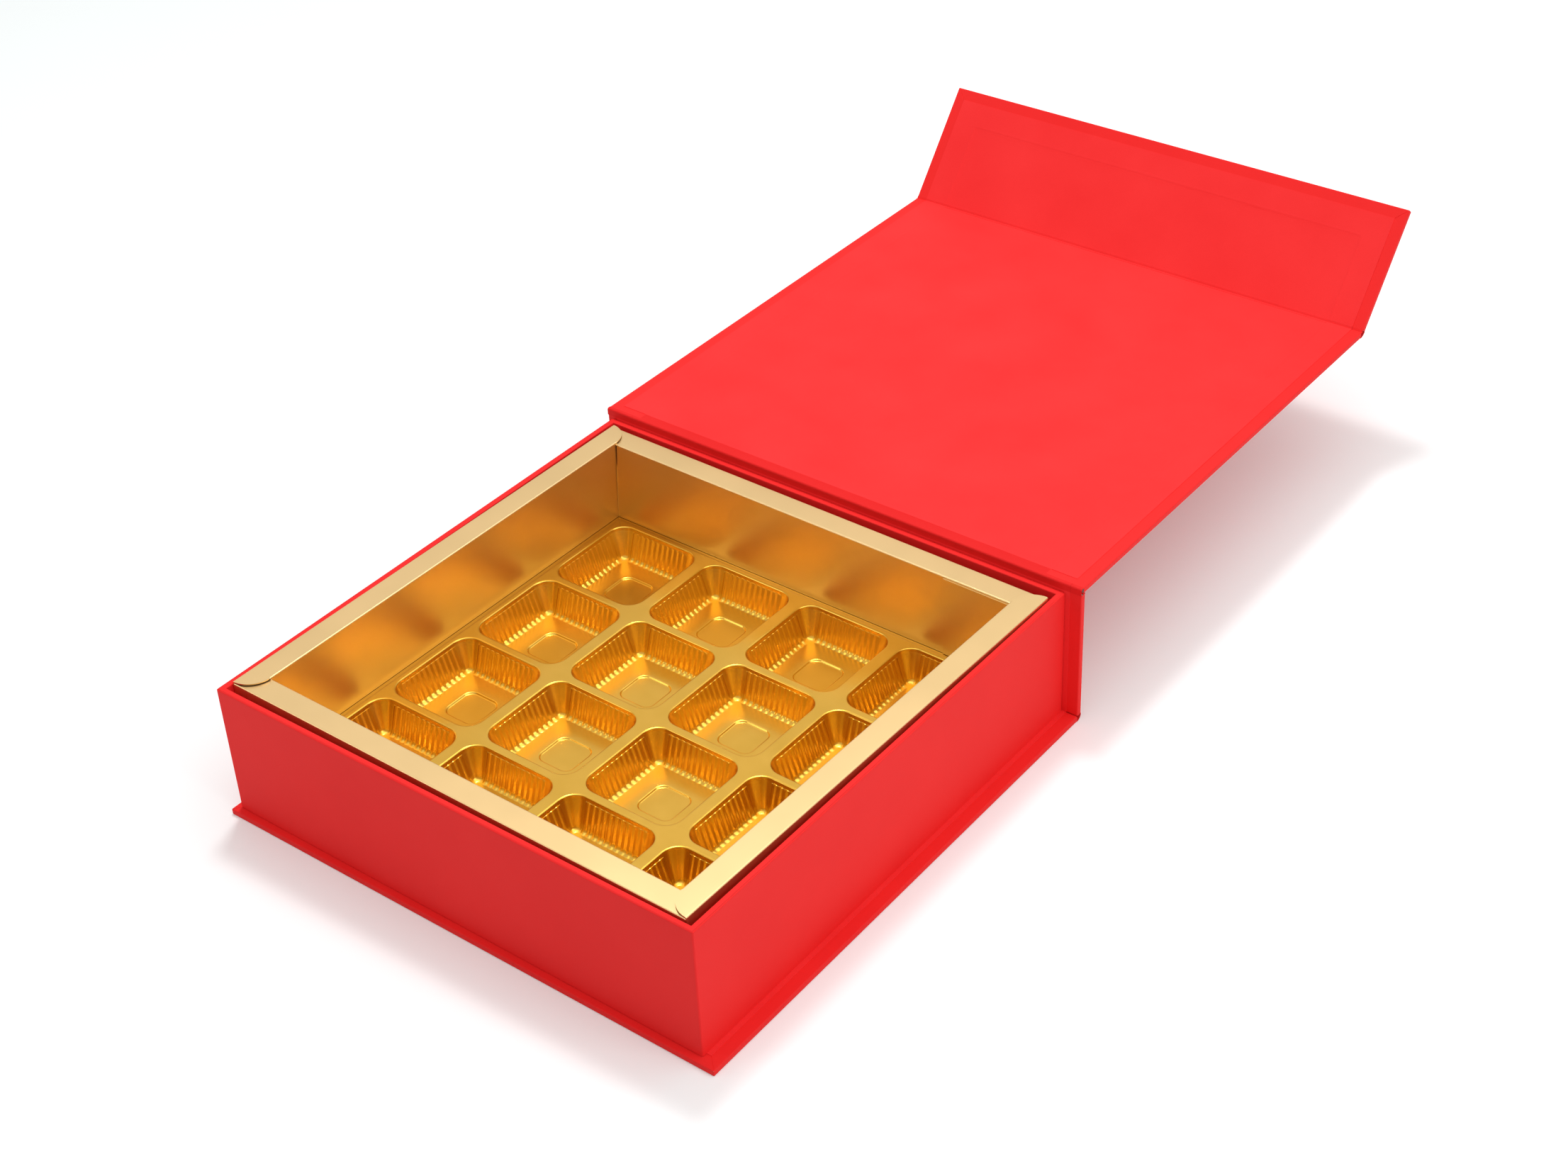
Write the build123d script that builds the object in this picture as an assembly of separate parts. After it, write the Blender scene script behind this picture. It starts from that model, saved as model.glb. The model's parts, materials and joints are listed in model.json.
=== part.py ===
"""A book-style rigid gift box for 16 chocolates, standing open.

A case of four boards (base, spine, lid and flap) in one paper wrap holds a tray of four walls and
a floor. A folded gold card collar and a thermoformed cavity tray stand loose in the tray.
X runs along the hinge, Y from the front to the hinge, Z up. The origin is on the underside of the
base, in the middle of the case's width and of the tray's depth. All sizes are in millimetres.
"""
from build123d import *
from math import radians, tan
import os

# Papers and boards
paper = 0.15
board = 2.0
turn_in = 15.0
liner_inset = 4.5

# Tray, and the case round it
tray_width = 200.0
tray_depth = 200.0
tray_height = 50.5
tray_shift = -2.0
case_flange = 4.25
base_front_flange = 2.6
tray_turn_down = 20.0
tray_turn_under = 12.0
stay_thickness = 0.1
stay_leg = 20.0

# Lid and flap
lid_gap = 0.35
hinge_gap = 0.45
hinge_edge_gap = 0.3
lid_liner_near_inset = 3.0
flap_gap = 1.2
flap_foot_gap = 2.4
flap_edge_gap = 0.15
flap_angle = 50.3

# Closing magnets in the flap, steel discs in the tray's front wall
magnet_radius = 5.0
magnet_thickness = 1.5
strike_radius = 6.0
strike_thickness = 1.2
pocket_gap = 0.1
magnet_spacing = 110.0
magnet_height = 30.0

# Gold card collar
card = 0.4
insert_side_gap = 1.2
insert_end_gap = 2.6
insert_shift = -0.9
insert_turn = -0.6
rim_width = 9.0
rim_proud = 0.9
lobe_bulge = 2.6
glue_tab_width = 27.0

# Thermoformed cavity tray
sheet = 0.5
deck_height = 15.75
deck_tuck = 3.0
cavities_along_x = 4
cavities_along_y = 4
cavity_size = 38.6
cavity_corner = 6.2
cavity_depth = 12.0
cavity_floor = 31.0
cavity_side_margin = 2.0
cavity_end_margin = 3.4
pad_size = 14.4
pad_corner = 3.5
pad_depth = 0.6

# Levels and places worked out from them
case_thickness = board + 3 * paper
case_half = tray_width / 2 + case_flange
tray_bottom = case_thickness
tray_top = tray_bottom + tray_height
tray_back = tray_depth / 2
tray_wall = paper + stay_thickness + board + paper
rim_top = tray_top + rim_proud
lid_under = rim_top + lid_gap
hinge_y = tray_back + case_thickness / 2
hinge_z = lid_under + case_thickness / 2
spine_back = tray_back + case_thickness
spine_top = lid_under - hinge_gap
lid_near = hinge_y + hinge_edge_gap
crease_half = case_thickness / 2 + flap_edge_gap
closed_flap_y = -(tray_back + flap_gap + case_thickness / 2)
flap_hinge_y = 2 * hinge_y - closed_flap_y
lid_length = flap_hinge_y - crease_half - lid_near
flap_length = hinge_z - case_thickness - flap_foot_gap - crease_half
magnet_along_flap = hinge_z - magnet_height - crease_half
floor_top = tray_bottom + paper + board + paper
cavity_floor_corner = cavity_corner - (cavity_size - cavity_floor) / 2


def block(x, y, z):
    """A box between a low and a high place along each axis."""
    size = (x[1] - x[0], y[1] - y[0], z[1] - z[0])
    return Pos(x[0], y[0], z[0]) * Box(*size, align=(Align.MIN, Align.MIN, Align.MIN))


def along_x(outline, half_width):
    """An outline drawn in Y and Z, drawn out to both sides along X."""
    return extrude(Plane.YZ * outline, amount=half_width, both=True)


def ring_part(centre, radius, thickness, start, turn):
    """A part of a ring in a plane: its outer radius, its thickness inwards, its first angle and turn."""
    outer = CenterArc(centre, radius, start, turn)
    inner = CenterArc(centre, radius - thickness, start, turn)
    ends = [Line(outer @ 0, inner @ 0), Line(outer @ 1, inner @ 1)]
    return make_face([outer, inner] + ends)


def panel(length, first_edge_wrapped, last_edge_wrapped, first_inset, last_inset):
    """One board of the case, lying flat with its outer face down: its board, wrap and liner.

    The board's first edge lies along X at Y zero. At a free edge the wrap goes round the board, and
    at a crease it stops level with it. Its turned-in strips lie on the inner face on all four sides.
    """
    first_skin = paper if first_edge_wrapped else 0
    last_skin = paper if last_edge_wrapped else 0
    board_top = paper + board
    skin_top = board_top + paper
    sides = (-case_half, case_half)
    core = block(
        (-case_half + paper, case_half - paper), (first_skin, length - last_skin), (paper, board_top)
    )
    window_x = (-case_half + turn_in, case_half - turn_in)
    window_y = (turn_in, length - turn_in)
    window = block(window_x, window_y, (board_top, skin_top))
    wrap = block(sides, (0, length), (0, skin_top)) - core - window
    liner_x = (-case_half + liner_inset, case_half - liner_inset)
    liner_y = (first_inset, length - last_inset)
    liner = block(liner_x, liner_y, (skin_top, case_thickness)) + window
    return {"board": core, "wrap": wrap, "liner": liner}


def place(pieces, where):
    """The same pieces at another place."""
    return {name: where * piece for name, piece in pieces.items()}


def discs(radius, thickness, height, y):
    """Two upright discs in the front wall, from the plane Y = y inwards."""
    turned = Rot(-90, 0, 0) * Cylinder(radius, thickness, align=(Align.CENTER, Align.CENTER, Align.MIN))
    return [Pos(side * magnet_spacing / 2, y, height) * turned for side in (-1, 1)]


# Case
def case():
    """The base, spine, lid and flap, each with its board, wrap and liner, and the creases."""
    pieces = {}
    base_length = tray_back + tray_back + base_front_flange
    base = panel(base_length, True, False, liner_inset, 0)
    base = place(base, Pos(0, -tray_back - base_front_flange, 0))
    spine = panel(spine_top - case_thickness, False, False, 0, 0)
    spine = place(spine, Pos(0, spine_back, case_thickness) * Rot(90, 0, 0))
    lid = place(
        panel(lid_length, False, False, lid_liner_near_inset, 0), Pos(0, lid_near, lid_under)
    )
    flap = panel(flap_length, False, True, 0, liner_inset)
    board_top = paper + board
    pocket_floor = board_top - magnet_thickness
    magnets = []
    for side in (-1, 1):
        spot = Pos(side * magnet_spacing / 2, magnet_along_flap, pocket_floor)
        seat = (Align.CENTER, Align.CENTER, Align.MIN)
        flap["board"] -= spot * Cylinder(magnet_radius + pocket_gap, magnet_thickness, align=seat)
        magnets.append(spot * Cylinder(magnet_radius, magnet_thickness, align=seat))
    flap["magnets"] = Compound(magnets)
    swing = Pos(0, flap_hinge_y, hinge_z) * Rot(flap_angle, 0, 0)
    flap = place(flap, swing * Pos(0, crease_half, -case_thickness / 2))
    for name, parts in (("base", base), ("spine", spine), ("lid", lid), ("flap", flap)):
        for layer, piece in parts.items():
            pieces[f"{name}_{layer}"] = piece
    return pieces


def creases():
    """The paper between the boards: one fixed fold, and the two hinges' outer and inner papers."""
    pieces = {}
    fold = ring_part((tray_back, case_thickness), case_thickness, paper, -90, 90)
    pieces["spine_fold"] = along_x(fold, case_half)
    pieces["lid_hinge_wrap"] = block(
        (-case_half, case_half), (spine_back - paper, spine_back), (spine_top, lid_under)
    )
    bend = lid_near - tray_back
    inner_face = lid_under + case_thickness - paper
    upright = Pos(tray_back, spine_top) * Rectangle(
        paper, inner_face - bend - spine_top, align=(Align.MIN, Align.MIN)
    )
    over = ring_part((lid_near, inner_face - bend), bend, paper, 90, 90)
    liner_half = case_half - liner_inset
    pieces["lid_hinge_liner"] = along_x(upright, liner_half) + along_x(over, liner_half)
    rise = crease_half / tan(radians(flap_angle / 2))
    centre = (flap_hinge_y - crease_half, hinge_z + rise)
    outer_radius = rise + case_thickness / 2
    inner_radius = rise - case_thickness / 2 + paper
    outside = ring_part(centre, outer_radius, paper, -90, flap_angle)
    inside = ring_part(centre, inner_radius, paper, -90, flap_angle)
    pieces["flap_hinge_wrap"] = along_x(outside, case_half)
    pieces["flap_hinge_liner"] = along_x(inside, liner_half)
    return pieces


# Tray
def square_ring(outer, inner, z):
    """A wall round the tray's middle, from the outer to the inner half widths and depths."""
    whole = block((-outer[0], outer[0]), (-outer[1], outer[1]), z)
    return whole - block((-inner[0], inner[0]), (-inner[1], inner[1]), z)


def tray_half(skin):
    """Half the tray's width and depth, less so much on each side."""
    return (tray_width / 2 - skin, tray_depth / 2 - skin)


def tray():
    """The walls, floor, corner stays, wrap and floor liner, and the steel discs in the front wall."""
    pieces = {}
    outside = tray_half(0)
    under_wrap = tray_half(paper)
    board_out = tray_half(paper + stay_thickness)
    board_in = tray_half(paper + stay_thickness + board)
    inside = tray_half(tray_wall)
    wall_z = (tray_bottom + paper, tray_top - paper)
    whole_x = (-board_out[0], board_out[0])
    front_y = (-board_out[1], -board_in[1])
    back_y = (board_in[1], board_out[1])
    between_y = (-board_in[1], board_in[1])
    front = block(whole_x, front_y, wall_z)
    plates = []
    for plate, pocket in zip(
        discs(strike_radius, strike_thickness, magnet_height, -board_out[1]),
        discs(strike_radius + pocket_gap, strike_thickness, magnet_height, -board_out[1]),
    ):
        front -= Pos(-tray_shift, 0, 0) * pocket
        plates.append(Pos(-tray_shift, 0, 0) * plate)
    pieces["tray_front_wall"] = front
    pieces["strike_plates"] = Compound(plates)
    pieces["tray_back_wall"] = block(whole_x, back_y, wall_z)
    pieces["tray_left_wall"] = block((-board_out[0], -board_in[0]), between_y, wall_z)
    pieces["tray_right_wall"] = block((board_in[0], board_out[0]), between_y, wall_z)
    floor_x = (-board_in[0], board_in[0])
    floor_z = (wall_z[0], wall_z[0] + board)
    pieces["tray_floor_board"] = block(floor_x, between_y, floor_z)
    pieces["tray_floor_liner"] = block(floor_x, between_y, (floor_z[1], floor_top))
    skin = square_ring(under_wrap, board_out, wall_z)
    keep_x = (outside[0] - stay_leg, outside[0])
    keep_y = (outside[1] - stay_leg, outside[1])
    corner = skin & block(keep_x, keep_y, wall_z)
    corners = [corner, mirror(corner, Plane.YZ), mirror(corner, Plane.XZ)]
    corners.append(mirror(corners[1], Plane.XZ))
    pieces["tray_corner_stays"] = Compound(corners)
    lip_half = tray_half(tray_turn_under)
    wrap = square_ring(outside, under_wrap, (tray_bottom, tray_top))
    wrap += square_ring(under_wrap, lip_half, (tray_bottom, wall_z[0]))
    wrap += square_ring(under_wrap, inside, (wall_z[1], tray_top))
    wrap += square_ring(board_in, inside, (tray_top - tray_turn_down, wall_z[1]))
    pieces["tray_wrap"] = wrap
    return place(pieces, Pos(tray_shift, 0, 0))


# Collar of folded gold card
def insert_sizes():
    """The collar's outer and inner half width and half depth."""
    inside = tray_half(tray_wall)
    outer = (inside[0] - insert_side_gap, inside[1] - insert_end_gap)
    return outer, (outer[0] - rim_width, outer[1] - rim_width)


def collar():
    """The collar's four sides, each an outer wall, a rim and an inner wall, and its glue tab."""
    (wide, deep), (opening_wide, opening_deep) = insert_sizes()
    deck = floor_top + deck_height
    low_rim = rim_top - card
    front_x = (-wide + card, wide - card)
    rim_y = (-deep, -opening_deep)
    wall_x = (-opening_wide - card, opening_wide + card)
    front = block(front_x, rim_y, (low_rim - card, low_rim))
    front += block(front_x, (-deep, -deep + card), (floor_top, low_rim - card))
    front += block(wall_x, (-opening_deep - card, -opening_deep), (deck, low_rim - card))
    corner_out = Vector(-wide, -deep)
    corner_in = Vector(-opening_wide, -opening_deep)
    bulge = Vector(1, -1).normalized() * lobe_bulge
    lobe = ThreePointArc(corner_out, (corner_out + corner_in) / 2 + bulge, corner_in)
    far_lobe = mirror(lobe, Plane.XZ)
    side_face = make_face([lobe, far_lobe, Line(lobe @ 0, far_lobe @ 0), Line(lobe @ 1, far_lobe @ 1)])
    left = Pos(0, 0, low_rim) * extrude(side_face, amount=card, dir=(0, 0, 1))
    outer_y = (-deep, deep)
    left += block((-wide, -wide + card), outer_y, (floor_top, low_rim))
    inner_y = (-opening_deep, opening_deep)
    left += block((-opening_wide - card, -opening_wide), inner_y, (deck, low_rim))
    tab_x = (opening_wide - glue_tab_width, opening_wide)
    tab = block(tab_x, (opening_deep - card, opening_deep), (deck, low_rim - card))
    return {
        "insert_front_panel": front,
        "insert_back_panel": mirror(front, Plane.XZ),
        "insert_left_panel": left,
        "insert_right_panel": mirror(left, Plane.YZ),
        "insert_glue_tab": tab,
    }


# Thermoformed tray
def cup(grow):
    """One cavity's space, or with a sheet added all round, its outside."""
    top = RectangleRounded(cavity_size + 2 * grow, cavity_size + 2 * grow, cavity_corner + grow)
    low = RectangleRounded(cavity_floor + 2 * grow, cavity_floor + 2 * grow, cavity_floor_corner + grow)
    return loft([top, Pos(0, 0, -cavity_depth - grow) * low])


def pad(grow):
    """The sunk square in the middle of a cavity's floor, or with a sheet added, its outside."""
    outline = RectangleRounded(pad_size + 2 * grow, pad_size + 2 * grow, pad_corner + grow)
    deep = pad_depth + grow
    return extrude(Pos(0, 0, -cavity_depth - deep) * outline, amount=deep)


def cavity_places(opening_wide, opening_deep):
    """The middles of the cavities, spread evenly over the deck."""
    span_x = 2 * (opening_wide - cavity_side_margin) - cavity_size
    span_y = 2 * (opening_deep - cavity_end_margin) - cavity_size
    for row in range(cavities_along_y):
        for column in range(cavities_along_x):
            x = (column / (cavities_along_x - 1) - 1 / 2) * span_x
            y = (row / (cavities_along_y - 1) - 1 / 2) * span_y
            yield Pos(x, y, 0)


def cavity_tray():
    """The deck with its skirt, which stands on the tray's floor, and the cups that hang in it."""
    _, (opening_wide, opening_deep) = insert_sizes()
    wide = opening_wide + deck_tuck
    deep = opening_deep + deck_tuck
    places = list(cavity_places(opening_wide, opening_deep))
    body = block((-wide, wide), (-deep, deep), (-deck_height, 0))
    body -= block((sheet - wide, wide - sheet), (sheet - deep, deep - sheet), (-deck_height, -sheet))
    outside = cup(sheet) + pad(sheet)
    hollow = cup(0) + pad(0)
    body += [spot * outside for spot in places]
    body -= [spot * hollow for spot in places]
    return Pos(0, 0, floor_top + deck_height) * body


def insert():
    """The collar and the cavity tray as they stand, a little askew, in the tray."""
    pieces = collar()
    pieces["cavity_tray"] = cavity_tray()
    return place(pieces, Pos(tray_shift, insert_shift, 0) * Rot(0, 0, insert_turn))


os.makedirs("parts", exist_ok=True)
for make in (case, creases, tray, insert):
    for name, piece in make().items():
        export_step(piece, f"parts/{name}.step")
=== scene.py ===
from math import cos, pi, radians, sin, tan
import json

import bmesh
import bpy
from mathutils import Euler, Matrix, Vector


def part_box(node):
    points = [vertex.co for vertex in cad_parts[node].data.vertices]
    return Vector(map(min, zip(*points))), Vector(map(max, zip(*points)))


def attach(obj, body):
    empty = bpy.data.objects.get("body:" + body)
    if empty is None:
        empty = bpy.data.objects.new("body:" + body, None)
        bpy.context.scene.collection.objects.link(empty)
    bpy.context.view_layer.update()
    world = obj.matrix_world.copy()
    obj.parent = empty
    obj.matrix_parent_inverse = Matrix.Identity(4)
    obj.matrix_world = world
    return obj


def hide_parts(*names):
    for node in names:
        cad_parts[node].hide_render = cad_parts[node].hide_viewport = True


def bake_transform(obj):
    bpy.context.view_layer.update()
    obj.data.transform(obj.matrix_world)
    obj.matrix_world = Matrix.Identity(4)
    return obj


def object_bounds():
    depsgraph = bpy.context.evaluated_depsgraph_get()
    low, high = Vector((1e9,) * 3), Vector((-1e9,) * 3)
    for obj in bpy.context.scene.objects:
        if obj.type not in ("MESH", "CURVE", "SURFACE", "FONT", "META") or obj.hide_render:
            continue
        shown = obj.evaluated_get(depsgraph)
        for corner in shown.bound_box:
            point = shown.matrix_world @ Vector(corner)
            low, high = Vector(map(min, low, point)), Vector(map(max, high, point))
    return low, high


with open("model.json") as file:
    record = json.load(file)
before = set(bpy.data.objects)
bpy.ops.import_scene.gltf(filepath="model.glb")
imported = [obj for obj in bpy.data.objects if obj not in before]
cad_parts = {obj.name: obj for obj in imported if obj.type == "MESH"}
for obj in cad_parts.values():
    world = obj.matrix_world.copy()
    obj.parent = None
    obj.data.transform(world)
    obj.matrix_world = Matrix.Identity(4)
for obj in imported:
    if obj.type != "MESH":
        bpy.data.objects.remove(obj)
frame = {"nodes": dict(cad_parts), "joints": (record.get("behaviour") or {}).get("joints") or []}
cad_low, cad_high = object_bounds()
mm = 0.001

# Greyboards
# Nine recycled boards, 2 mm thick, cut square and dusty grey-brown. Four stiffen the case and five
# make the tray. All of them are hidden by the papers glued round them.
fleck_size = 1.2 * mm
pulp_size = 0.4 * mm
pulp_depth = 0.04 * mm
board_dark = (0.30, 0.27, 0.23, 1)
board_light = (0.52, 0.48, 0.42, 1)


class Wire:
    """A value, colour or vector between two nodes. Sums and products of values add Math nodes."""

    def __init__(self, nodes, socket):
        self.nodes = nodes
        self.socket = socket

    def math(self, operation, first, second):
        return self.nodes.node("Math", {"operation": operation}, {0: first, 1: second})

    def __add__(self, other):
        return self.math("ADD", self, other)

    def __radd__(self, other):
        return self.math("ADD", other, self)

    def __mul__(self, other):
        return self.math("MULTIPLY", self, other)

    def __rmul__(self, other):
        return self.math("MULTIPLY", other, self)


class Nodes:
    """A tree of nodes, and the one way in which it gets a new one."""

    def __init__(self, tree):
        self.tree = tree

    def node(self, kind, settings, inputs, output=0):
        """Adds a node: first its settings, then the value or link of each socket named."""
        made = self.tree.nodes.new("ShaderNode" + kind)
        for name, value in settings.items():
            setattr(made, name, value)
        for name, value in inputs.items():
            self.feed(made.inputs[name], value)
        return Wire(self, made.outputs[output])

    def feed(self, socket, value):
        """Links a wire to a socket, or sets the socket to a plain value."""
        if isinstance(value, Wire):
            self.tree.links.new(value.socket, socket)
        else:
            socket.default_value = value


class Finish(Nodes):
    """A surface finish made with nodes, starting from its constant values."""

    def __init__(self, name, constants):
        self.material = bpy.data.materials.new(name)
        self.material.use_nodes = True
        super().__init__(self.material.node_tree)
        self.surface = self.tree.nodes["Principled BSDF"]
        self.coat(constants)
        self.spot = self.node("TexCoord", {}, {}, "Object")

    def clouds(self, size, detail=2, stretch=(1, 1, 1)):
        """Noise from 0 to 1 with blots of about this size, drawn out along the long axes."""
        scale = tuple(1 / factor for factor in stretch)
        spot = self.node("Mapping", {}, {"Vector": self.spot, "Scale": scale})
        return self.node("TexNoise", {}, {"Vector": spot, "Scale": 1 / size, "Detail": detail})

    def blend(self, share, first, second):
        """The first colour where the share is 0, the second where it is 1, and mixed between."""
        share_input, first_input, second_input, colour_output = 0, 6, 7, 2
        inputs = {share_input: share, first_input: first, second_input: second}
        return self.node("Mix", {"data_type": "RGBA"}, inputs, colour_output)

    def relief(self, height, depth):
        """Small bumps where the height is 1, this deep."""
        return self.node("Bump", {}, {"Height": height, "Distance": depth})

    def coat(self, sockets):
        """Feeds the surface's sockets and returns the material."""
        for name, value in sockets.items():
            self.feed(self.surface.inputs[name], value)
        return self.material


def dress(nodes, material):
    """Gives a finish to nodes of the frame whose shape stays."""
    for node in nodes:
        frame["nodes"][node].data.materials.clear()
        frame["nodes"][node].data.materials.append(material)


greyboard = Finish("greyboard", {"Specular IOR Level": 0.2})
flecks = greyboard.clouds(fleck_size, 4)
greyboard.coat({
    "Base Color": greyboard.blend(flecks, board_dark, board_light),
    "Roughness": 0.85 + 0.1 * flecks,
    "Normal": greyboard.relief(greyboard.clouds(pulp_size), pulp_depth),
})
dress([
    "base_board", "spine_board", "lid_board", "flap_board", "tray_floor_board",
    "tray_front_wall", "tray_back_wall", "tray_left_wall", "tray_right_wall",
], greyboard.material)

# Base cover
# The case's red paper wrap where it covers the base: glued under the board, rounded over its three
# free edges and turned in 15 mm on top, mitred at the two front corners, open at the spine's crease.
paper = 0.15 * mm
edge_round = 0.45 * mm
edge_steps = 4
turn_in = 15 * mm
seam_half = 0.12 * mm
seam_depth = 0.1 * mm
smooth_angle = radians(40)
facing_cosine = 0.99

dye_clouds = 30 * mm
grain_size = 0.35 * mm
fibre_size = 1.1 * mm
fibre_stretch = (1, 3, 1)
grain_depth = 0.03 * mm
red_dark = (0.80, 0.015, 0.015, 1)
red_light = (0.92, 0.026, 0.024, 1)


def red_paper(name, darker, lighter):
    """Uncoated dyed paper: matt, with a fine grain, faint clouds of colour and short fibres."""
    finish = Finish(name, {"Specular IOR Level": 0.16})
    clouds = finish.clouds(dye_clouds, 3)
    grain = finish.clouds(grain_size, 3)
    fibres = finish.clouds(fibre_size, 2, fibre_stretch)
    return finish.coat({
        "Base Color": finish.blend(0.6 * clouds + 0.4 * grain, darker, lighter),
        "Roughness": 0.58 + 0.12 * grain,
        "Normal": finish.relief(0.6 * grain + 0.4 * fibres, grain_depth),
    })


wrap_paper = red_paper("red_wrap_paper", red_dark, red_light)


def box_between(low, high):
    """Adds a box from its low to its high corner and opens it in edit mode."""
    low, high = Vector(low), Vector(high)
    bpy.ops.object.select_all(action="DESELECT")
    bpy.ops.mesh.primitive_cube_add(size=1, location=(low + high) / 2, scale=high - low)
    bpy.ops.object.transform_apply(location=True, rotation=True, scale=True)
    bpy.ops.object.mode_set(mode="EDIT")


def middle(part):
    """The middle of a face's or an edge's corners."""
    return sum((corner.co for corner in part.verts), Vector()) / len(part.verts)


def select(kind, test):
    """In edit mode, selects the faces, edges or corners that pass the test and nothing else."""
    bpy.ops.mesh.select_mode(type=kind)
    bpy.ops.mesh.select_all(action="DESELECT")
    mesh = bmesh.from_edit_mesh(bpy.context.object.data)
    parts = {"FACE": mesh.faces, "EDGE": mesh.edges, "VERT": mesh.verts}[kind]
    for part in parts:
        if test(part):
            part.select_set(True)
    bmesh.update_edit_mesh(bpy.context.object.data)


def facing(face, *directions):
    return any(face.normal.dot(direction) > facing_cosine for direction in map(Vector, directions))


def modifier(kind, settings):
    """Adds a modifier to the piece in hand and applies it."""
    bpy.ops.object.mode_set(mode="OBJECT")
    bpy.ops.object.modifier_add(type=kind)
    made = bpy.context.object.modifiers[-1]
    for name, value in settings.items():
        setattr(made, name, value)
    bpy.ops.object.modifier_apply(modifier=made.name)


def thicken(thickness):
    """Gives a sheet its thickness, inwards from the side that shows."""
    modifier("SOLIDIFY", {"thickness": thickness, "offset": -1, "use_even_offset": True})


def name_piece(name, material):
    """Ends the modelling of the piece in hand: its name, its finish and its smooth shading."""
    bpy.ops.object.mode_set(mode="OBJECT")
    piece = bpy.context.object
    piece.name = piece.data.name = name
    piece.data.materials.append(material)
    bpy.ops.object.shade_smooth_by_angle(angle=smooth_angle)
    modifier("WEIGHTED_NORMAL", {"keep_sharp": True})
    return piece


def wrap_board(low, high, inner, creases):
    """Paper round a board: rounded at its free edges, open at its creases, turned in inside."""
    box_between(low, high)
    select("FACE", lambda face: facing(face, *creases))
    bpy.ops.mesh.delete(type="FACE")
    select("EDGE", lambda edge: len(edge.link_faces) == 2)
    bpy.ops.mesh.bevel(offset=edge_round, segments=edge_steps, affect="EDGES")
    select("FACE", lambda face: facing(face, inner))
    bpy.ops.mesh.inset(thickness=turn_in - edge_round, use_boundary=False)
    bpy.ops.mesh.delete(type="FACE")


def cut_mitre():
    """Presses a fine line where two turned-in strips meet, from the corner to the window."""
    def diagonal(edge):
        way = edge.verts[1].co - edge.verts[0].co
        return abs(abs(way.x) - abs(way.y)) < seam_half and abs(way.x) > turn_in / 2

    select("EDGE", diagonal)
    bpy.ops.mesh.bevel(offset=seam_half, segments=1, affect="EDGES")
    bpy.ops.mesh.inset(thickness=seam_half / 2, depth=-seam_depth)


wrap_board(*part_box("base_wrap"), (0, 0, 1), [(0, 1, 0)])
cut_mitre()
thicken(paper)
base_cover = name_piece("base_cover", wrap_paper)
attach(base_cover, "box")
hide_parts("base_wrap")

# Liners under the tray and behind it
# A lighter red paper, glued flat on the base, on the spine's inner face and on the tray's floor. Only
# a strip beside the tray shows, so these sheets keep their plain shape.
liner_dark = (0.82, 0.015, 0.016, 1)
liner_light = (0.96, 0.042, 0.042, 1)

liner_paper = red_paper("red_liner_paper", liner_dark, liner_light)
dress(["base_liner", "spine_liner", "tray_floor_liner"], liner_paper)

# Spine cover
# The wrap goes on round the spine's board: a rounded fold up from the base, the upright outer face,
# and turned-in strips left and right. It is open at both creases.
fold_steps = 8


def line_along_x(half, y, z):
    """Adds one straight edge along X, in edit mode."""
    bpy.ops.object.select_all(action="DESELECT")
    bpy.ops.mesh.primitive_plane_add(size=2 * half, location=(0, y + half, z))
    bpy.ops.object.transform_apply(location=True)
    bpy.ops.object.mode_set(mode="EDIT")
    select("VERT", lambda corner: corner.co.y > y + half)
    bpy.ops.mesh.delete(type="VERT")
    bpy.ops.mesh.select_all(action="SELECT")


def face_out(direction):
    """Turns a sheet over if its first face looks away from the side that shows."""
    bpy.ops.mesh.select_all(action="SELECT")
    bpy.ops.mesh.normals_make_consistent(inside=False)
    faces = bmesh.from_edit_mesh(bpy.context.object.data).faces
    faces.ensure_lookup_table()
    if faces[0].normal.dot(Vector(direction)) < 0:
        bpy.ops.mesh.flip_normals()


def roll(steps, angle, y, z):
    """Draws the edge in hand round a line along X; a positive angle turns from +Y to +Z."""
    bpy.ops.mesh.spin(steps=steps, angle=-angle, axis=(1, 0, 0), center=(0, y, z))


spine_low, spine_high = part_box("spine_wrap")
wrap_board(spine_low, spine_high, (0, -1, 0), [(0, 0, 1), (0, 0, -1)])
thicken(paper)
spine_cover = name_piece("spine_cover", wrap_paper)
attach(spine_cover, "box")
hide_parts("spine_wrap")

fold_low, fold_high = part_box("spine_fold")
line_along_x(fold_high.x, fold_low.y, fold_low.z)
roll(fold_steps, pi / 2, fold_low.y, fold_high.z)
face_out((0, 0, -1))
thicken(paper)
spine_fold = name_piece("spine_fold_paper", wrap_paper)
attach(spine_fold, "box")
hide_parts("spine_fold")

# Lid cover and lid liner
# The wrap round the lid's board, turned in left and right and open at both creases. A single liner
# sheet is glued over the inside: it stops 4.5 mm short of the edges and sinks a little where the
# turned-in strips end under it.
cell = 5 * mm
strip_step = 0.12 * mm
step_width = 0.8 * mm
lid_wave = 60 * mm
lid_wave_depth = 0.10 * mm


def flat_sheet(low, high):
    """Adds a flat sheet at the top of a box, divided into cells, in edit mode."""
    span = high - low
    across, along = round(span.x / cell), round(span.y / cell)
    spot = ((low.x + high.x) / 2, (low.y + high.y) / 2, high.z)
    bpy.ops.object.select_all(action="DESELECT")
    bpy.ops.mesh.primitive_grid_add(
        x_subdivisions=across, y_subdivisions=along, size=1, location=spot
    )
    bpy.ops.transform.resize(value=(span.x, span.y, 1))
    bpy.ops.object.transform_apply(location=True, rotation=True, scale=True)
    bpy.ops.object.mode_set(mode="EDIT")


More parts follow.
